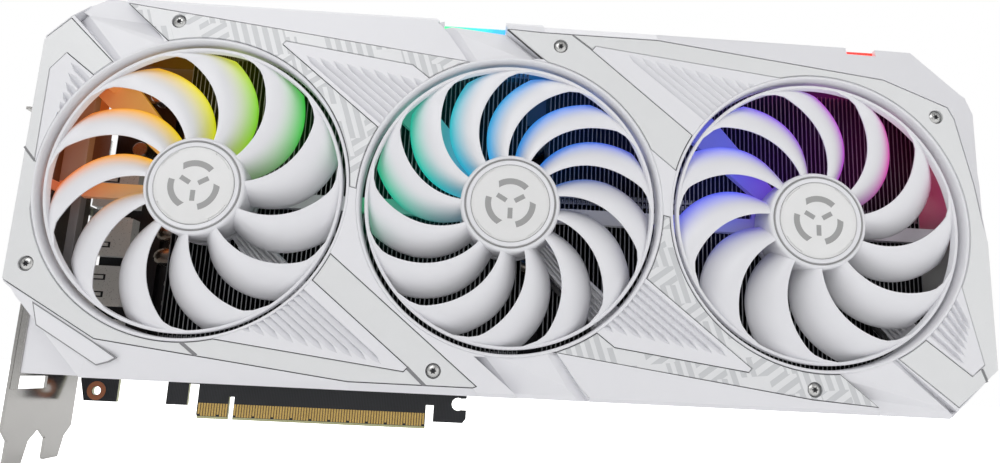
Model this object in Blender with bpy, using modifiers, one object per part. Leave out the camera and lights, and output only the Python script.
"""A triple-fan graphics card, built as an assembly of separate solids.

Axes: +X runs from the slot bracket to the tail, +Z away from the slot, and the fans face -Y.
Origin: the middle of the long run of contacts, at their bottom edge, on the board's mid-plane.
X positions below are measured from the key notch between the two runs of contacts, and the
finished card is moved along X by DATUM_X at the end. All named dimensions are in millimetres;
the helpers convert them to metres.
"""
import math

import bmesh
import bpy
from mathutils import Matrix, Vector

MM = 0.001
DATUM_X = 36.55              # from the key notch to the middle of the long run of contacts

# ---------------------------------------------------------------- driving dimensions
CARD_LEFT_X = -60.0          # outer face of the slot bracket
SHROUD_LEFT_X = -59.6
CARD_TAIL_X = 258.5
CARD_FRONT_W = 52.0          # "w" is the distance in front of the board's mid-plane (-Y)
CARD_BACK_Y = 5.8
CARD_BOTTOM_Z = 14.0
CARD_TOP_Z = 140.1

CENTRE_X = 98.2              # the card's middle fan, and the centre of its symmetric styling
CENTRE_Z = 76.7
FAN_PITCH = 103.2
FAN_NAMES = ("fan_left", "fan_centre", "fan_right")
FAN_X = {name: CENTRE_X + FAN_PITCH * (i - 1) for i, name in enumerate(FAN_NAMES)}

GAP = 0.3                    # clearance kept between neighbouring pieces

# shroud
SHROUD_WALL = 2.2
SHROUD_FACE = 3.2
SHROUD_BACK_W = 8.0
SHROUD_EDGE = 1.5            # size of the broken front edge
OPENING_R = 49.3
COLLAR_R = 50.1
COLLAR_LAP = 0.4             # how far the collar reaches into the face
COLLAR_BACK_W = 45.0
COLLAR_STEPS = 40
SEAM_R = 50.7                # inner edge of the accent plates round each fan
PLATE_T = 1.5

# fans
RING_OUTER_R = 47.9
RING_INNER_R = 46.8
RING_FRONT_W = 49.9
RING_BACK_W = 47.2
HUB_R = 16.6
HUB_WALL = 1.5
HUB_EDGE = 1.2
BOSS_DEPTH = 2.4             # the boss inside the hub that holds the shaft
HUB_FRONT_W = 50.3
HUB_BACK_W = 37.0
BADGE_R = 12.9
BADGE_T = 0.6
BLADE_T = 1.1
BLADE_FRONT_W = 49.2
BLADE_BACK_W = 41.2
SHAFT_R = 1.5
BEARING_BORE_R = 1.6
BEARING_R = 3.4
# blade count, sweep direction seen from the front, angular width and phase in degrees
FANS = {
    "fan_left": {"blades": 11, "turn": 1, "width": 22.5, "phase": 74.0},
    "fan_centre": {"blades": 13, "turn": -1, "width": 19.0, "phase": 67.4},
    "fan_right": {"blades": 11, "turn": 1, "width": 22.5, "phase": 76.4},
}
SWEEP_FRONT = 30.0           # degrees each blade's front edge sweeps from root to tip
SWEEP_FRONT_POWER = 1.55     # above 1, most of the sweep happens near the tip
SWEEP_BACK = 31.0
SWEEP_BACK_POWER = 1.8
BLADE_CURVE = 1.25           # above 1, a blade steepens towards its front edge

# fan frames
FRAME_BACK_W = 33.2
FRAME_FRONT_W = 35.4
FRAME_DISC_R = 17.0
# turn in degrees, width, radius where the post starts and radius where post and strut end
STRUTS = ((0, 5.5, 50.4, 51.3), (135, 9.0, 51.2, 54.2), (180, 5.5, 50.4, 51.3), (315, 9.0, 51.2, 54.2))
POST_HALF = 1.6

# heatsink
FIN_FRONT_W = 32.0
FIN_BASE_W = 14.2
FIN_BASE_T = 2.0
FIN_PITCH = 1.55
FIN_T = 0.35
FIN_LEFT_STACK = (-17.5, 104.0)       # along X
FIN_RIGHT_STACK = (112.0, 247.0)
FIN_LEFT_HEIGHT = (20.0, 133.0)       # along Z
FIN_RIGHT_HEIGHT = (24.5, 128.0)
PIPE_R = 3.0
PIPE_W = 10.9
PIPE_PITCH = 8.5
PIPE_FAN_OUT = 1.85          # spread of the pipes in the right stack, relative to the left
PIPE_RIGHT_X = 243.0
PIPE_TURN_R = 6.5

# board and processor
BOARD_T = 1.6
BOARD_LEFT_X = -56.0
BOARD_RIGHT_X = 236.0
BOARD_TOP_Z = 134.0
BOARD_EDGE_Z = 14.5
TAB_GAP_Z = 16.0
SHOULDER_Z = 4.5
KEY_HALF = 0.95
KEY_TOP_Z = 8.25
CONTACT_RIGHT_X = 72.15
NOTCH_TOP_Z = 8.6
GPU_X = 47.0
GPU_Z = 78.0
GPU_SCREW = 28.5             # half the spacing of the cooler's screws
PLATE_SIZE = 62.0
COLD_PLATE_Y = (-7.6, -3.6)

# bracket
BRACKET_T = 1.0
BRACKET_FRONT_Y = -38.8
BRACKET_BACK_Y = 3.1
FLANGE_Z = 104.0
FLANGE_REACH = 11.4
SOCKET_Z = (27.9, 46.6, 65.3, 84.0)
SOCKET_HALF = {"display_socket_1": 6.2}
SOCKET_HALF_WIDE = 7.2
SOCKET_Y = (-7.1, -1.1)
SOCKET_X = (-58.7, -42.6)

# power connectors
HEADER_X = (171.0, 192.0, 213.0)
HEADER_SIZE_X = 18.6
HEADER_Y = (-10.7, -1.1)
HEADER_Z = (122.0, 136.0)
PIN_PITCH = 4.2
PIN_HALF = 1.55
PIN_DEPTH = 9.0

# backplate and the parts behind the processor
BACKPLATE_T = 1.2
RETAINER_Y = (2.0, 3.4)

# controls on the top edge
SWITCH_X = 150.0
BUTTON_X = 137.0
CONTROL_Y = (-5.1, -0.8)

# front screws, measured from the styling centre
FRONT_SCREWS = ((-114.4, 55.9), (-151.0, -28.5), (-21.8, -55.5), (14.7, 55.6), (144.7, 38.3), (99.3, -55.6))
SCREW_HEAD_R = 2.15
SCREW_HOLE_R = 1.5
SCREW_SHANK_R = 1.2
SCREW_LENGTH = 9.0

# ---------------------------------------------------------------- frames of reference
PLAN = Matrix.Identity(4)
FRONT = Matrix.Rotation(math.pi / 2, 4, "X")                     # local x, y, z -> X, Z, -Y
SIDE = Matrix(((0, 0, 1, 0), (1, 0, 0, 0), (0, 1, 0, 0), (0, 0, 0, 1)))  # local x, y, z -> Y, Z, X


# ---------------------------------------------------------------- scene and materials
def clear_scene():
    for obj in list(bpy.data.objects):
        bpy.data.objects.remove(obj, do_unlink=True)


def new_collection(name):
    collection = bpy.data.collections.new(name)
    bpy.context.scene.collection.children.link(collection)
    return collection


def material(name, colour, roughness, metallic=0.0):
    found = bpy.data.materials.get(name)
    if found:
        return found
    made = bpy.data.materials.new(name)
    made.use_nodes = True
    shader = made.node_tree.nodes["Principled BSDF"]
    shader.inputs["Base Color"].default_value = (*colour, 1.0)
    shader.inputs["Roughness"].default_value = roughness
    shader.inputs["Metallic"].default_value = metallic
    return made


def white_plastic():
    return material("white_plastic", (0.80, 0.80, 0.83), 0.38)


def plate_plastic():
    return material("plate_plastic", (0.70, 0.71, 0.72), 0.34)


def pattern_plastic():
    return material("pattern_plastic", (0.74, 0.75, 0.78), 0.40)


def badge_metal():
    return material("badge_metal", (0.72, 0.72, 0.73), 0.30, 0.4)


def fin_metal():
    return material("fin_metal", (0.03, 0.03, 0.035), 0.45, 0.8)


def nickel():
    return material("nickel", (0.62, 0.58, 0.52), 0.28, 1.0)


def steel():
    return material("steel", (0.72, 0.73, 0.74), 0.25, 1.0)


def dark_steel():
    return material("dark_steel", (0.25, 0.25, 0.26), 0.4, 1.0)


def aluminium():
    return material("aluminium", (0.66, 0.67, 0.68), 0.4, 1.0)


def black_plastic():
    return material("black_plastic", (0.02, 0.02, 0.022), 0.45)


def board_laminate():
    return material("board_laminate", (0.015, 0.017, 0.02), 0.4)


def copper():
    return material("copper", (0.72, 0.36, 0.18), 0.35, 1.0)


def chip_laminate():
    return material("chip_laminate", (0.05, 0.22, 0.12), 0.35)


def light_diffuser():
    return material("light_diffuser", (0.9, 0.92, 0.95), 0.3)


# ---------------------------------------------------------------- shape helpers
def add_object(name, mesh, mat, frame=PLAN, parent=None, cutter=False):
    obj = bpy.data.objects.new(name, mesh)
    collection = CUTTERS if cutter else PARTS
    collection.objects.link(obj)
    if mat:
        mesh.materials.append(mat)
    obj.parent = parent
    obj.matrix_basis = frame
    if cutter:
        obj.hide_render = True
        obj.display_type = "WIRE"
    return obj


def finish_bmesh(name, bm):
    bmesh.ops.scale(bm, vec=(MM, MM, MM), verts=bm.verts)
    bmesh.ops.recalc_face_normals(bm, faces=bm.faces)
    mesh = bpy.data.meshes.new(name)
    bm.to_mesh(mesh)
    bm.free()
    return mesh


def box(name, low, high, mat=None, frame=PLAN, parent=None, cutter=False, bevel=0.0):
    """A box between two opposite corners."""
    bm = bmesh.new()
    size = [b - a for a, b in zip(low, high)]
    middle = [(a + b) / 2 for a, b in zip(low, high)]
    bmesh.ops.create_cube(bm, size=1.0, matrix=Matrix.Translation(middle) @ Matrix.Diagonal((*size, 1.0)))
    obj = add_object(name, finish_bmesh(name, bm), mat, frame, parent, cutter)
    if bevel:
        round_edges(obj, bevel)
    return obj


def cylinder(name, centre, radius, w0, w1, mat=None, frame=FRONT, parent=None, cutter=False, sides=32):
    """A cylinder along the frame's third axis, from w0 to w1."""
    bm = bmesh.new()
    place = Matrix.Translation((centre[0], centre[1], (w0 + w1) / 2))
    bmesh.ops.create_cone(bm, cap_ends=True, segments=sides, radius1=radius, radius2=radius,
                          depth=abs(w1 - w0), matrix=place)
    return add_object(name, finish_bmesh(name, bm), mat, frame, parent, cutter)


def prism(name, outline, w0, w1, mat=None, frame=FRONT, parent=None, cutter=False):
    """A flat outline with straight sides: a 2D curve made a wall, and both its rims filled."""
    curve = bpy.data.curves.new(name, "CURVE")
    curve.dimensions = "2D"
    curve.fill_mode = "NONE"
    curve.extrude = (w1 - w0) / 2 * MM
    spline = curve.splines.new("POLY")
    spline.points.add(len(outline) - 1)
    for point, (u, v) in zip(spline.points, outline):
        point.co = (u * MM, v * MM, 0.0, 1.0)
    spline.use_cyclic_u = True
    guide = bpy.data.objects.new(name + "_curve", curve)
    CUTTERS.objects.link(guide)
    depsgraph = bpy.context.evaluated_depsgraph_get()
    mesh = bpy.data.meshes.new_from_object(guide.evaluated_get(depsgraph))
    bpy.data.objects.remove(guide, do_unlink=True)
    bm = bmesh.new()
    bm.from_mesh(mesh)
    bmesh.ops.remove_doubles(bm, verts=bm.verts, dist=1e-6)
    bmesh.ops.holes_fill(bm, edges=bm.edges, sides=0)
    bmesh.ops.translate(bm, vec=(0, 0, (w0 + w1) / 2 * MM), verts=bm.verts)
    bmesh.ops.recalc_face_normals(bm, faces=bm.faces)
    bm.to_mesh(mesh)
    bm.free()
    mesh.materials.clear()
    return add_object(name, mesh, mat, frame, parent, cutter)


def turned(name, profile, mat=None, frame=PLAN, parent=None, cutter=False, steps=40, ring=False):
    """A turned shape: (radius, height) points from the top, down the outer side, to the bottom."""
    mesh = bpy.data.meshes.new(name)
    edges = [(i, i + 1) for i in range(len(profile) - 1)]
    if ring:
        edges.append((len(profile) - 1, 0))
    mesh.from_pydata([(r * MM, 0.0, h * MM) for r, h in profile], edges, [])
    obj = add_object(name, mesh, mat, frame, parent, cutter)
    screw = obj.modifiers.new("turn", "SCREW")
    screw.axis = "Z"
    screw.steps = steps
    screw.render_steps = steps
    screw.use_merge_vertices = True
    screw.merge_threshold = 1e-6
    return obj


def tube(name, points, radius, mat, steps=2, parent=None, frame=PLAN):
    """A round bar along a polyline."""
    curve = bpy.data.curves.new(name, "CURVE")
    curve.dimensions = "3D"
    curve.bevel_depth = radius * MM
    curve.bevel_resolution = steps
    curve.use_fill_caps = True
    spline = curve.splines.new("POLY")
    spline.points.add(len(points) - 1)
    for point, co in zip(spline.points, points):
        point.co = (co[0] * MM, co[1] * MM, co[2] * MM, 1.0)
    guide = bpy.data.objects.new(name + "_curve", curve)
    CUTTERS.objects.link(guide)
    depsgraph = bpy.context.evaluated_depsgraph_get()
    mesh = bpy.data.meshes.new_from_object(guide.evaluated_get(depsgraph))
    bpy.data.objects.remove(guide, do_unlink=True)
    bm = bmesh.new()
    bm.from_mesh(mesh)
    bmesh.ops.remove_doubles(bm, verts=bm.verts, dist=1e-6)
    bmesh.ops.recalc_face_normals(bm, faces=bm.faces)
    bm.to_mesh(mesh)
    bm.free()
    mesh.materials.clear()
    return add_object(name, mesh, mat, frame, parent)


def loft(name, rings, mat, frame=FRONT):
    """A closed solid through rings of equal length, with a flat face on the first and last."""
    bm = bmesh.new()
    loops = [[bm.verts.new(point) for point in ring] for ring in rings]
    count = len(rings[0])
    for a, b in zip(loops, loops[1:]):
        for i in range(count):
            j = (i + 1) % count
            bm.faces.new((a[i], a[j], b[j], b[i]))
    bm.faces.new(loops[0])
    bm.faces.new(loops[-1])
    return add_object(name, finish_bmesh(name, bm), mat, frame)


def round_edges(obj, width, segments=1):
    bevel = obj.modifiers.new("round", "BEVEL")
    bevel.width = width * MM
    bevel.segments = segments
    bevel.limit_method = "ANGLE"


def boolean(obj, other, operation):
    step = obj.modifiers.new(operation.lower(), "BOOLEAN")
    step.object = other
    step.operation = operation
    step.solver = "EXACT"


def cut(obj, *others):
    for other in others:
        boolean(obj, other, "DIFFERENCE")


def join(obj, *others):
    for other in others:
        boolean(obj, other, "UNION")


def smooth(obj):
    obj.data.shade_smooth()
    obj.data.set_sharp_from_angle(angle=math.radians(35))


# ---------------------------------------------------------------- outlines
def arc(cu, cv, radius, start, end, steps):
    """Points on an arc, angles in degrees, both ends included."""
    turns = [math.radians(start + (end - start) * i / steps) for i in range(steps + 1)]
    return [(cu + radius * math.cos(turn), cv + radius * math.sin(turn)) for turn in turns]


def area(points):
    return sum(a[0] * b[1] - b[0] * a[1] for a, b in zip(points, points[1:] + points[:1])) / 2


def inset(points, distance):
    """The outline moved inwards by a distance (outwards if it is negative), with mitred corners."""
    sign = 1 if area(points) > 0 else -1
    moved = []
    for i, here in enumerate(points):
        before = Vector(points[i - 1])
        after = Vector(points[(i + 1) % len(points)])
        into = (Vector(here) - before).normalized()
        out = (after - Vector(here)).normalized()
        n1 = Vector((-into.y, into.x)) * sign
        n2 = Vector((-out.y, out.x)) * sign
        bisector = (n1 + n2).normalized()
        reach = distance / max(0.4, bisector.dot(n1))
        moved.append((here[0] + bisector.x * reach, here[1] + bisector.y * reach))
    return moved


def shifted(points):
    """From the styling centre to the board's frame."""
    return [(u + CENTRE_X, v + CENTRE_Z) for u, v in points]


def half_turn(points):
    return [(-u, -v) for u, v in points]


def at(points, w):
    return [(u, v, w) for u, v in points]


def shroud_outline():
    left = SHROUD_LEFT_X - CENTRE_X
    right = CARD_TAIL_X - CENTRE_X
    top = CARD_TOP_Z - CENTRE_Z
    bottom = CARD_BOTTOM_Z - CENTRE_Z
    return shifted([(left, -34.0), (left + 3.2, -38.6), (-131.6, bottom), (143.7, bottom), (159.2, -47.5),
                    (right, -41.0), (right, -4.5), (right - 1.2, 4.5), (right, 41.5), (158.0, 47.5),
                    (139.7, top), (-139.3, top), (-150.4, 56.0), (left, 48.2)])


def wrap_plate(tip):
    """The plate that wraps one end of the card and passes under the fan beside it to a slanted tip."""
    under_fan = arc(-FAN_PITCH, 0.0, SEAM_R, 192.5, 284.3, 18)
    return ([(-147.4, 53.6), (-134.3, 40.3), (-139.8, 35.1), (-149.4, 42.4), (-153.7, 36.4), (-153.5, 4.6)]
            + under_fan + tip + [(-48.1, -58.8), (-126.7, -50.6), (-155.6, -34.6), (-155.6, 47.0)])


def lower_left_plate():
    beside_fan = arc(-FAN_PITCH, 0.0, SEAM_R, 325.1, 336.2, 3)
    return wrap_plate([(-31.0, -56.3), (-29.6, -54.7)] + beside_fan + [(-9.5, -58.4)])


def upper_right_plate():
    """The same plate at the other end, with a wider tip that follows the middle fan's opening."""
    beside_fan = arc(-FAN_PITCH, 0.0, SEAM_R, 328.5, 343.9, 3)
    round_middle = arc(0.0, 0.0, SEAM_R, 204.2, 258.1, 9)
    return half_turn(wrap_plate([(-26.6, -56.5), (-25.3, -54.8)] + beside_fan + round_middle + [(1.9, -59.6)]))


def upper_left_plate():
    """The plate above the left fan that reaches down between two fans, round a slanted window."""
    over_fan = arc(-FAN_PITCH, 0.0, SEAM_R, 105.8, 2.5, 20)
    next_fan = arc(0.0, 0.0, SEAM_R, 178.0, 153.2, 5)
    over_next = arc(0.0, 0.0, SEAM_R, 125.4, 109.1, 3)
    window = [(-79.3, 49.9), (-78.2, 51.3), (-35.1, 45.6)]
    return [(-131.0, 59.6)] + over_fan + next_fan + window + over_next


# ---------------------------------------------------------------- shroud and plates
def recess(name, outline):
    floor = CARD_FRONT_W - PLATE_T - GAP
    return prism(name, shifted(inset(outline, -GAP)), floor, CARD_FRONT_W + 1, cutter=True)


def shroud(plates):
    outline = shroud_outline()
    inner_w = CARD_FRONT_W - SHROUD_FACE
    body = loft("shroud", [
        at(inset(outline, SHROUD_WALL + 1.0), inner_w),
        at(inset(outline, SHROUD_WALL), inner_w - 1.5),
        at(inset(outline, SHROUD_WALL), SHROUD_BACK_W),
        at(outline, SHROUD_BACK_W),
        at(outline, CARD_FRONT_W - SHROUD_EDGE),
        at(inset(outline, SHROUD_EDGE), CARD_FRONT_W)], white_plastic())
    for name in FAN_NAMES:
        opening = cylinder(name + "_opening", (FAN_X[name], CENTRE_Z), OPENING_R + COLLAR_LAP,
                           COLLAR_BACK_W - 5, CARD_FRONT_W + 5, cutter=True, sides=COLLAR_STEPS)
        cut(body, opening)
    for name in FAN_NAMES:
        half_step = Matrix.Rotation(math.pi / COLLAR_STEPS, 4, "Z")
        place = Matrix.Translation((FAN_X[name] * MM, 0, CENTRE_Z * MM)) @ FRONT @ half_step
        lip_w = CARD_FRONT_W - 0.4
        collar = turned(name + "_collar", [(COLLAR_R, lip_w), (COLLAR_R, COLLAR_BACK_W),
                                           (OPENING_R, COLLAR_BACK_W), (OPENING_R, lip_w)],
                        frame=place, cutter=True, steps=COLLAR_STEPS, ring=True)
        join(body, collar)
    for name, outline in plates.items():
        cut(body, recess(name + "_recess", outline))
    for i, (u, v) in enumerate(FRONT_SCREWS):
        cut(body, cylinder(f"front_hole_{i + 1}", (CENTRE_X + u, CENTRE_Z + v), SCREW_HOLE_R,
                           CARD_FRONT_W - 8, CARD_FRONT_W + 2, cutter=True, sides=16))
    cut(body, *shroud_windows())
    return body


def shroud_windows():
    """The openings in the side walls: bracket end, air outlets, connectors and light bar."""
    top = (CARD_TOP_Z - 4, CARD_TOP_Z + 4)
    bottom = (CARD_BOTTOM_Z - 4, CARD_BOTTOM_Z + 4)
    boxes = {
        "bracket_end": ((-62, BRACKET_FRONT_Y - 0.6, 8), (-56.6, 0, 107)),
        "connector_bay": ((158, -12.6, top[0]), (226, 0, top[1])),
        "control_bay": ((130, -7.0, top[0]), (156, 0, top[1])),
        "light_slot": ((69.7, -46.3, top[0]), (230.3, -39.7, top[1])),
    }
    for i, x in enumerate((2.0, 48.0, 94.0, 140.0, 186.0)):
        boxes[f"top_outlet_{i + 1}"] = ((x, -34, top[0]), (x + 40, -16, top[1]))
    for i, x in enumerate((-10.0, 45.0, 100.0, 155.0, 205.0)):
        boxes[f"bottom_outlet_{i + 1}"] = ((x, -34, bottom[0]), (x + 38, -16, bottom[1]))
    return [box(name, low, high, cutter=True) for name, (low, high) in boxes.items()]


def accent_plate(name, outline, mat):
    plate = prism(name, shifted(outline), CARD_FRONT_W - PLATE_T, CARD_FRONT_W, mat)
    near = inset(outline, -SCREW_HEAD_R - GAP)
    for i, (u, v) in enumerate(FRONT_SCREWS):
        if inside(near, (u, v)):
            cut(plate, cylinder(f"{name}_hole_{i + 1}", (CENTRE_X + u, CENTRE_Z + v), SCREW_HEAD_R + GAP,
                                CARD_FRONT_W - 4, CARD_FRONT_W + 2, cutter=True, sides=16))
    return plate


def inside(outline, point):
    """Whether a point is inside an outline, by counting edges crossed to its right."""
    hits = 0
    for (x0, y0), (x1, y1) in zip(outline, outline[1:] + outline[:1]):
        if (y0 > point[1]) != (y1 > point[1]):
            hits += point[0] < x0 + (point[1] - y0) / (y1 - y0) * (x1 - x0)
    return hits % 2 == 1


def front_screws():
    """Pan-head screws, each in its own seat a little below the face."""
    high = CARD_FRONT_W - 0.1
    low = CARD_FRONT_W - PLATE_T + 0.1
    for i, (u, v) in enumerate(FRONT_SCREWS):
        place = Matrix.Translation(((CENTRE_X + u) * MM, 0, (CENTRE_Z + v) * MM)) @ FRONT
        profile = [(0, high), (SCREW_HEAD_R * 0.8, high), (SCREW_HEAD_R, low + 0.4), (SCREW_HEAD_R, low),
                   (SCREW_SHANK_R, low), (SCREW_SHANK_R, low - SCREW_LENGTH), (0, low - SCREW_LENGTH)]
        smooth(turned(f"front_screw_{i + 1}", profile, steel(), frame=place, steps=12))
        cut(bpy.data.objects["shroud"],
            cylinder(f"front_seat_{i + 1}", (CENTRE_X + u, CENTRE_Z + v), SCREW_HEAD_R + GAP + 0.1,
                     low - GAP - 0.1, CARD_FRONT_W + 2, cutter=True, sides=16))


def light_bar():
    bar = box("light_bar", (70, -46, 137.0), (230, -40, CARD_TOP_Z), light_diffuser())
    round_edges(bar, 0.4)


# ---------------------------------------------------------------- fans
def axis_empty(name):
    empty = bpy.data.objects.new(name + "_axis", None)
    PARTS.objects.link(empty)
    empty.empty_display_size = 0.02
    empty.matrix_basis = Matrix.Translation((FAN_X[name] * MM, 0, CENTRE_Z * MM)) @ FRONT
    return empty


def blade(name, spec, index, axis):
    """A swept blade: a grid bent along the span and the chord, then thickened."""
    bm = bmesh.new()
    bmesh.ops.create_grid(bm, x_segments=3, y_segments=4, size=1.0)
    for vert in bm.verts:
        span = (vert.co.y + 1) / 2
        chord = (vert.co.x + 1) / 2
        radius = (HUB_R - 0.9) + (RING_INNER_R + 0.5 - HUB_R + 0.9) * span
        front = SWEEP_FRONT * span ** SWEEP_FRONT_POWER
        back = -spec["width"] + SWEEP_BACK * span ** SWEEP_BACK_POWER
        angle = spec["phase"] + spec["turn"] * (back + (front - back) * chord)
        angle = math.radians(angle - index * 360 / spec["blades"])
        height = BLADE_BACK_W + (BLADE_FRONT_W - BLADE_BACK_W) * chord ** BLADE_CURVE
        vert.co = (radius * math.cos(angle), radius * math.sin(angle), height)
    mesh = finish_bmesh(f"{name}_blade_{index + 1}", bm)
    obj = add_object(f"{name}_blade_{index + 1}", mesh, None, parent=axis, cutter=True)
    solid = obj.modifiers.new("thicken", "SOLIDIFY")
    solid.thickness = BLADE_T * MM
    solid.offset = 0.0
    return obj


def fan_rotor(name, axis):
    """Hub cup, blades and the ring round their tips, in one moulding."""
    spec = FANS[name]
    top = HUB_FRONT_W
    seat = top - BADGE_T - 0.2
    boss = seat - HUB_WALL
    cup = [(0, seat), (BADGE_R + GAP, seat), (BADGE_R + GAP, top), (HUB_R - HUB_EDGE, top),
           (HUB_R, top - HUB_EDGE), (HUB_R, HUB_BACK_W), (HUB_R - HUB_WALL, HUB_BACK_W),
           (HUB_R - HUB_WALL, boss), (BEARING_R, boss), (BEARING_R, boss - BOSS_DEPTH),
           (SHAFT_R + 0.1, boss - BOSS_DEPTH), (SHAFT_R + 0.1, boss), (0, boss)]
    rotor = turned(name + "_rotor", cup, white_plastic(), parent=axis, steps=20)
    ring = turned(name + "_ring", [(RING_OUTER_R, RING_FRONT_W), (RING_OUTER_R, RING_BACK_W),
                                   (RING_INNER_R, RING_BACK_W), (RING_INNER_R, RING_FRONT_W)],
                  parent=axis, cutter=True, steps=36, ring=True)
    join(rotor, *(blade(name, spec, i, axis) for i in range(spec["blades"])))
    join(rotor, ring)
    return rotor


def fan_badge(name, axis):
    low = HUB_FRONT_W - BADGE_T
    disc = [(0, HUB_FRONT_W), (BADGE_R - 0.3, HUB_FRONT_W), (BADGE_R, HUB_FRONT_W - 0.3),
            (BADGE_R, low), (0, low)]
    smooth(turned(name + "_badge", disc, badge_metal(), parent=axis, steps=24))


def fan_shaft(name, axis):
    front = HUB_FRONT_W - BADGE_T - 0.2 - HUB_WALL - GAP
    shaft = cylinder(name + "_shaft", (0, 0), SHAFT_R, FRAME_BACK_W + 1.8, front, steel(),
                     frame=PLAN, parent=axis, sides=24)
    smooth(shaft)


def fan_frame(name, place):
    """Motor plate, bearing tube and four struts, each with a post that stands on its end."""
    front = CARD_FRONT_W - SHROUD_FACE - GAP
    tube_top = HUB_FRONT_W - BADGE_T - 0.2 - HUB_WALL - BOSS_DEPTH - 2 * GAP
    frame = turned(name + "_frame", [(0, FRAME_BACK_W + 1.5), (BEARING_BORE_R, FRAME_BACK_W + 1.5),
                                     (BEARING_BORE_R, tube_top), (BEARING_R - 0.6, tube_top),
                                     (BEARING_R - 0.6, FRAME_FRONT_W), (FRAME_DISC_R, FRAME_FRONT_W),
                                     (FRAME_DISC_R, FRAME_BACK_W), (0, FRAME_BACK_W)],
                   white_plastic(), frame=place, steps=24)
    for i, (degrees, width, post_start, end) in enumerate(STRUTS):
        turn = place @ Matrix.Rotation(math.radians(degrees), 4, "Z")
        strut = box(f"{name}_strut_{i + 1}", (FRAME_DISC_R - 3, -width / 2, FRAME_BACK_W + 0.05),
                    (end, width / 2, FRAME_FRONT_W - 0.05), frame=turn, cutter=True)
        post = box(f"{name}_post_{i + 1}", (post_start, -POST_HALF, FRAME_FRONT_W - 1),
                   (end - 0.05, POST_HALF, front), frame=turn, cutter=True)
        join(frame, strut, post)
    return frame


def fan_stator(name, place):
    """The wound core: a ring of six poles round the bearing tube."""
    low = FRAME_FRONT_W + GAP
    high = low + 7.0
    core = turned(name + "_stator", [(12.4, high), (12.4, low), (BEARING_R, low), (BEARING_R, high)],
                  copper(), frame=place, steps=24, ring=True)
    for i in range(6):
        turn = place @ Matrix.Rotation(math.radians(60 * i), 4, "Z")
        slot = box(f"{name}_slot_{i + 1}", (6.0, -1.1, low - 1), (14, 1.1, high + 1), frame=turn, cutter=True)
        cut(core, slot)
    return core


def fan_cable(name):
    """Runs beside a strut to the duct, drops to the lower wall and goes back to the board."""
    slant = math.cos(math.radians(45))
    beside = (STRUTS[-1][1] / 2 + 1.6) * slant
    front = -(FRAME_FRONT_W + 1.6)
    low = CARD_BOTTOM_Z + SHROUD_WALL + 1.9

    def along(distance):
        return (FAN_X[name] + distance * slant - beside, front, CENTRE_Z - distance * slant - beside)

    outer = along(45)
    drop_x = outer[0] + 2.4
    points = [along(19), outer, (drop_x, front, outer[2] - 6), (drop_x, front, low + 3),
              (drop_x, front + 1, low + 0.9), (drop_x, front + 3, low), (drop_x, -5.0, low)]
    tube(name + "_cable", points, 1.1, black_plastic(), steps=1)


def fans():
    for name in FAN_NAMES:
        axis = axis_empty(name)
        place = axis.matrix_basis.copy()
        fan_rotor(name, axis)
        fan_badge(name, axis)
        fan_shaft(name, axis)
        fan_frame(name, place)
        fan_stator(name, place)
        fan_cable(name)


# ---------------------------------------------------------------- heatsink
def fin_stack(name, span, height):
    """A comb of upright fins on a base, drawn in plan and extruded up the card."""
    start, end = span
    count = int((end - start) / FIN_PITCH)
    outline = [(start, -FIN_BASE_W)]
    for i in range(count):
        x = start + i * FIN_PITCH
        outline += [(x, -FIN_FRONT_W), (x + FIN_T, -FIN_FRONT_W),
                    (x + FIN_T, -FIN_BASE_W - FIN_BASE_T), (x + FIN_PITCH, -FIN_BASE_W - FIN_BASE_T)]
    last = start + count * FIN_PITCH
    outline += [(last, -FIN_FRONT_W), (last + FIN_T, -FIN_FRONT_W), (last + FIN_T, -FIN_BASE_W)]
    return prism(name, outline, height[0], height[1], fin_metal(), frame=PLAN)


def pipe_path(index):
    """Straight over the processor, then fanned out; the two lowest pipes turn back at the left."""
    offset = (index - 2.5) * PIPE_PITCH
    z_left = GPU_Z + offset
    z_right = GPU_Z + offset * PIPE_FAN_OUT
    points = []
    if index < 2:
        turn_x = FIN_LEFT_STACK[0] - 1.0
        points.append((turn_x + 11.0, -PIPE_W - 2 * PIPE_TURN_R, z_left))
        for i in range(9):
            angle = math.radians(90 + 22.5 * i)
            points.append((turn_x + PIPE_TURN_R * math.cos(angle),
                           -PIPE_W - PIPE_TURN_R - PIPE_TURN_R * math.sin(angle), z_left))
    else:
        points.append((FIN_LEFT_STACK[0] + 4.0 + 6.0 * (index - 2), -PIPE_W, z_left))
    points += [(GPU_X + 40, -PIPE_W, z_left), (GPU_X + 46, -PIPE_W, z_left + (z_right - z_left) * 0.08),
               (GPU_X + 84, -PIPE_W, z_right - (z_right - z_left) * 0.08), (GPU_X + 90, -PIPE_W, z_right),
               (PIPE_RIGHT_X, -PIPE_W, z_right)]
    return points


def heatsink():
    left = fin_stack("fin_stack_left", FIN_LEFT_STACK, FIN_LEFT_HEIGHT)
    fin_stack("fin_stack_right", FIN_RIGHT_STACK, FIN_RIGHT_HEIGHT)
    for index in range(6):
        path = pipe_path(index)
        smooth(tube(f"heat_pipe_{index + 1}", path, PIPE_R, nickel(), steps=2))
        if index < 2:
            end_x, end_y, z = path[0]
            reach = PIPE_R + 0.5
            pocket = box(f"pipe_pocket_{index + 1}", (FIN_LEFT_STACK[0] - 2, end_y - reach, z - reach),
                         (end_x + 0.6, end_y + reach, z + reach), cutter=True)
            cut(left, pocket)
    half = PLATE_SIZE / 2
    low = (GPU_X - half, COLD_PLATE_Y[0], GPU_Z - half)
    high = (GPU_X + half, COLD_PLATE_Y[1], GPU_Z + half)
    plate = box("gpu_cold_plate", low, high, nickel())
    round_edges(plate, 0.5)
    memory_plate()
    stiffener()


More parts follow.
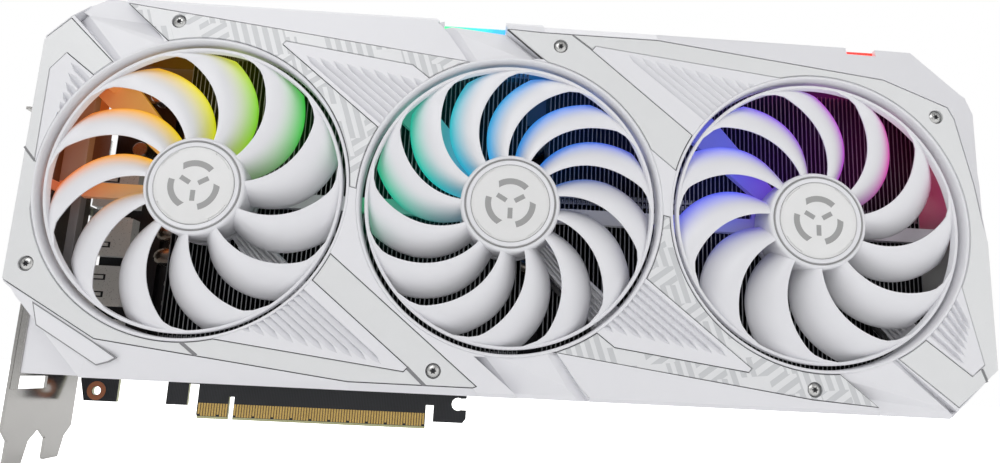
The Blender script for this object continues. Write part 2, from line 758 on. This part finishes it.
def rectangle(x0, z0, x1, z1):
    return [(x0, z0), (x1, z0), (x1, z1), (x0, z1)]


def memory_plate():
    """Sits on the memory around the processor, with a window for the cold plate."""
    low_w, high_w = 2.4, 4.4
    plate = prism("memory_plate", around_gpu(46, 35), low_w, high_w, aluminium())
    half = PLATE_SIZE / 2 + 2 * GAP
    cut(plate, prism("memory_window", around_gpu(half, half), low_w - 1, high_w + 1, cutter=True))


def around_gpu(half_x, half_z):
    return rectangle(GPU_X - half_x, GPU_Z - half_z, GPU_X + half_x, GPU_Z + half_z)


def stiffener():
    """A flat frame along the board's edges, with two cross bars."""
    frame = prism("stiffener_frame", rectangle(-38, 20, 230, 119), 1.1, 3.6, dark_steel())
    windows = ((-33, -18), (-13, 108), (113, 165), (170, 225))
    for i, (x0, x1) in enumerate(windows):
        cut(frame, prism(f"stiffener_window_{i + 1}", rectangle(x0, 25, x1, 114), 0, 5, cutter=True))


# ---------------------------------------------------------------- board
def board_outline():
    hook = arc(84.2, 9.4, 2.4, -60, -300, 8)
    return ([(BOARD_LEFT_X, 12.0), (-54.0, SHOULDER_Z), (-42.0, SHOULDER_Z), (-42.0, TAB_GAP_Z),
             (-24.0, TAB_GAP_Z), (-24.0, SHOULDER_Z), (-16.2, SHOULDER_Z), (-16.2, 12.3), (-12.45, 12.3),
             (-12.45, 1.4), (-11.8, 0.0), (-KEY_HALF, 0.0), (-KEY_HALF, KEY_TOP_Z), (KEY_HALF, KEY_TOP_Z),
             (KEY_HALF, 0.0), (CONTACT_RIGHT_X, 0.0), (CONTACT_RIGHT_X, NOTCH_TOP_Z), (75.1, NOTCH_TOP_Z),
             (75.1, 2.6), (86.2, 2.6), (87.4, 4.2), (87.4, 7.3)] + hook
            + [(87.4, 11.6), (87.4, BOARD_EDGE_Z), (BOARD_RIGHT_X, BOARD_EDGE_Z),
               (BOARD_RIGHT_X, BOARD_TOP_Z), (BOARD_LEFT_X, BOARD_TOP_Z)])


def soldered_parts():
    """Low boxes and cans on the board's front: memory, power stages, chokes and capacitors."""
    face = -BOARD_T / 2 + 0.2
    blocks = []
    for i in range(3):
        z = GPU_Z - 27 + 27 * i
        blocks.append(("memory_left", (GPU_X - 44, z - 6), (GPU_X - 33, z + 6), 2.0))
        blocks.append(("memory_right", (GPU_X + 33, z - 6), (GPU_X + 44, z + 6), 2.0))
    for i in range(7):
        z = 32 + 12.0 * i
        blocks.append(("choke_left", (-11, z - 4.5), (-2, z + 4.5), 6.4))
        blocks.append(("choke_right", (96, z - 4.5), (105, z + 4.5), 6.4))
    blocks.append(("switch_housing", (SWITCH_X - 5, 128), (SWITCH_X + 5, 133.6), -CONTROL_Y[0]))
    blocks.append(("button_housing", (BUTTON_X - 3.5, 127), (BUTTON_X + 3.5, 133), -CONTROL_Y[0]))
    made = []
    for i, (name, low, high, depth) in enumerate(blocks):
        near = (low[0], -depth, low[1])
        made.append(box(f"{name}_{i + 1}", near, (high[0], face, high[1]), cutter=True))
    for i in range(6):
        centre = (118.5 + 8.6 * (i % 2), 34 + 12 * (i // 2))
        made.append(cylinder(f"capacitor_{i + 1}", centre, 3.4, -face, 7.6, cutter=True, sides=8))
    return made


def circuit_board():
    half = BOARD_T / 2
    board = prism("circuit_board", board_outline(), -half, half, board_laminate())
    join(board, *soldered_parts())
    for i, (dx, dz) in enumerate(corners(GPU_SCREW)):
        centre = (GPU_X + dx, GPU_Z + dz)
        cut(board, cylinder(f"board_hole_{i + 1}", centre, 1.7, -3, 3, cutter=True, sides=16))
    cut(board, cylinder("board_tab_hole", (-49.8, 8.2), 1.6, -3, 3, cutter=True, sides=16))
    for name, x, half_width, floor in (("switch", SWITCH_X, 2.6, 131.0), ("button", BUTTON_X, 1.9, 130.3)):
        low = (x - half_width, -4.4, floor)
        cut(board, box(name + "_groove", low, (x + half_width, -1.6, 140), cutter=True))
    return board


def corners(half):
    return [(-half, -half), (half, -half), (half, half), (-half, half)]


def gpu_package():
    package = prism("gpu_package", around_gpu(25, 25), 1.1, 2.4, chip_laminate())
    join(package, prism("gpu_die", around_gpu(14, 12), 2.0, 3.3, cutter=True))


def controls():
    slider_low = (SWITCH_X - 2.0, -4.0, 131.4)
    round_edges(box("bios_switch_slider", slider_low, (SWITCH_X, -2.0, 136.8), black_plastic()), 0.2)
    button_low = (BUTTON_X - 1.5, -4.0, 131.2)
    round_edges(box("led_button", button_low, (BUTTON_X + 1.5, -2.0, 136.4), white_plastic()), 0.2)


def power_headers():
    for i, x in enumerate(HEADER_X):
        half = HEADER_SIZE_X / 2
        name = f"power_header_{i + 1}"
        low = (x - half, HEADER_Y[0], HEADER_Z[0])
        header = box(name, low, (x + half, HEADER_Y[1], HEADER_Z[1]), black_plastic())
        middle_y = (HEADER_Y[0] + HEADER_Y[1]) / 2
        for column in range(4):
            for row in range(2):
                px = x + (column - 1.5) * PIN_PITCH
                py = middle_y + (row - 0.5) * PIN_PITCH
                floor = (px - PIN_HALF, py - PIN_HALF, HEADER_Z[1] - PIN_DEPTH)
                mouth = (px + PIN_HALF, py + PIN_HALF, HEADER_Z[1] + 2)
                cut(header, box(f"{name}_pin_{column + 1}_{row + 1}", floor, mouth, cutter=True))


# ---------------------------------------------------------------- bracket and sockets
def bracket_outline():
    """In the Y-Z plane: the plate, its stepped lower edge and two tongues."""
    low = -15.4
    return [(BRACKET_FRONT_Y, 3.6), (BRACKET_FRONT_Y, -3.8), (-35.0, -7.4), (-35.0, low + 0.8), (-34.2, low),
            (-25.6, low), (-23.4, -8.2), (-18.2, -4.5), (-13.0, -8.2), (-13.0, low + 0.8), (-12.2, low),
            (-3.2, low), (-1.0, -8.2), (BRACKET_BACK_Y, -4.8), (BRACKET_BACK_Y, FLANGE_Z + BRACKET_T),
            (BRACKET_FRONT_Y, FLANGE_Z + BRACKET_T)]


def io_bracket():
    inner_x = CARD_LEFT_X + BRACKET_T
    bracket = prism("io_bracket", bracket_outline(), CARD_LEFT_X, inner_x, steel(), frame=SIDE)
    flange = box("bracket_flange", (CARD_LEFT_X - FLANGE_REACH, BRACKET_FRONT_Y + 3.2, FLANGE_Z),
                 (inner_x - 0.1, BRACKET_BACK_Y - 0.1, FLANGE_Z + BRACKET_T - 0.02), cutter=True)
    join(bracket, flange)
    for i, y in enumerate((-30.6, -10.3)):
        centre = (CARD_LEFT_X - FLANGE_REACH + 4.2, y)
        cut(bracket, cylinder(f"flange_notch_{i + 1}", centre, 2.2, FLANGE_Z - 2, FLANGE_Z + 4,
                              frame=PLAN, cutter=True, sides=20))
    x = (CARD_LEFT_X - 2, inner_x + 2)
    for i in range(8):
        z = 20.0 + 9.9 * i
        slant = [(-34.5, z), (-15.5, z + 2.4), (-15.5, z + 8.4), (-34.5, z + 6.0)]
        cut(bracket, prism(f"bracket_vent_{i + 1}", slant, x[0], x[1], frame=SIDE, cutter=True))
    cut(bracket, box("bracket_window", (x[0], -34.0, 9.0), (x[1], -17.6, 13.2), cutter=True))
    for i, z in enumerate(SOCKET_Z):
        half = socket_half(i) + 0.4
        cut(bracket, box(f"socket_window_{i + 1}", (x[0], SOCKET_Y[0] - 0.4, z - half),
                         (x[1], SOCKET_Y[1] + 0.4, z + half), cutter=True))


def socket_half(index):
    return SOCKET_HALF.get(f"display_socket_{index + 1}", SOCKET_HALF_WIDE)


def display_sockets():
    """Metal shells open towards the bracket, each with a tongue inside."""
    for i, z in enumerate(SOCKET_Z):
        half = socket_half(i)
        name = f"display_socket_{i + 1}"
        shell = box(name, (SOCKET_X[0], SOCKET_Y[0], z - half), (SOCKET_X[1], SOCKET_Y[1], z + half), steel())
        middle = (SOCKET_Y[0] + SOCKET_Y[1]) / 2
        upper = box(f"{name}_mouth_upper", (SOCKET_X[0] - 1, middle + 0.7, z - half + 0.8),
                    (SOCKET_X[1] - 4, SOCKET_Y[1] - 0.7, z + half - 0.8), cutter=True)
        lower = box(f"{name}_mouth_lower", (SOCKET_X[0] - 1, SOCKET_Y[0] + 0.7, z - half + 0.8),
                    (SOCKET_X[1] - 4, middle - 0.7, z + half - 0.8), cutter=True)
        cut(shell, upper, lower)


# ---------------------------------------------------------------- back of the card
def backplate_outline():
    return [(-57.0, 22.0), (-50.0, 15.0), (242.0, 15.0), (256.5, 29.0), (256.5, 124.0), (241.0, 138.6),
            (-43.0, 138.6), (-57.0, 125.0)]


def backplate():
    y0 = CARD_BACK_Y - BACKPLATE_T
    plate = prism("backplate", backplate_outline(), -CARD_BACK_Y, -y0, aluminium())
    half = GPU_SCREW + 5.5
    corner = 5.0
    opening = [(GPU_X - half, GPU_Z - half + corner), (GPU_X - half + corner, GPU_Z - half),
               (GPU_X + half, GPU_Z - half), (GPU_X + half, GPU_Z + half - corner),
               (GPU_X + half - corner, GPU_Z + half), (GPU_X - half, GPU_Z + half)]
    cut(plate, prism("backplate_opening", opening, -CARD_BACK_Y - 2, -y0 + 2, cutter=True))
    for i in range(6):
        z = 36 + 14.5 * i
        slot = [(206, z), (243, z), (250, z + 7), (213, z + 7)]
        cut(plate, prism(f"backplate_slot_{i + 1}", slot, -CARD_BACK_Y - 2, -y0 + 2, cutter=True))


def gpu_retainer():
    """A sprung cross behind the processor, and its four screws."""
    reach = GPU_SCREW * math.sqrt(2) + 4.5
    arm = 4.2
    middle = 12.0
    quarter = [(reach, -arm), (reach, arm), (middle, arm), (arm, middle)]
    quarter_turns = ((1, 0), (0, 1), (-1, 0), (0, -1))
    outline = [(u * c - v * d, u * d + v * c) for c, d in quarter_turns for u, v in quarter]
    turn = Matrix.Translation((GPU_X * MM, 0, GPU_Z * MM)) @ FRONT @ Matrix.Rotation(math.radians(45), 4, "Z")
    cross = prism("gpu_retainer", outline, -RETAINER_Y[1], -RETAINER_Y[0], dark_steel(), frame=turn)
    profile = [(0, 3.2), (SCREW_SHANK_R, 3.2), (SCREW_SHANK_R, -3.7), (2.9, -3.7), (2.9, -5.2), (2.5, -5.5),
               (0, -5.5)]
    for i, (dx, dz) in enumerate(corners(GPU_SCREW)):
        centre = (GPU_X + dx, GPU_Z + dz)
        cut(cross, cylinder(f"retainer_hole_{i + 1}", centre, 1.6, -8, 2, cutter=True, sides=16))
        place = Matrix.Translation((centre[0] * MM, 0, centre[1] * MM)) @ FRONT
        smooth(turned(f"spring_screw_{i + 1}", profile, steel(), frame=place, steps=10))


# ---------------------------------------------------------------- the whole card
PLATES = {
    "accent_plate_lower_left": lower_left_plate(),
    "accent_plate_upper_right": upper_right_plate(),
    "accent_plate_upper_left": upper_left_plate(),
    "accent_plate_lower_right": half_turn(upper_left_plate()),
}


def build():
    shroud(PLATES)
    for name, outline in PLATES.items():
        patterned = name in ("accent_plate_upper_left", "accent_plate_lower_right")
        accent_plate(name, outline, pattern_plastic() if patterned else plate_plastic())
    front_screws()
    light_bar()
    fans()
    heatsink()
    circuit_board()
    gpu_package()
    controls()
    power_headers()
    io_bracket()
    display_sockets()
    backplate()
    gpu_retainer()


def move_to_datum():
    for obj in list(PARTS.objects) + list(CUTTERS.objects):
        if obj.parent is None:
            obj.matrix_basis = Matrix.Translation((-DATUM_X * MM, 0, 0)) @ obj.matrix_basis


clear_scene()
PARTS = new_collection("graphics_card")
CUTTERS = new_collection("cutters")
build()
move_to_datum()
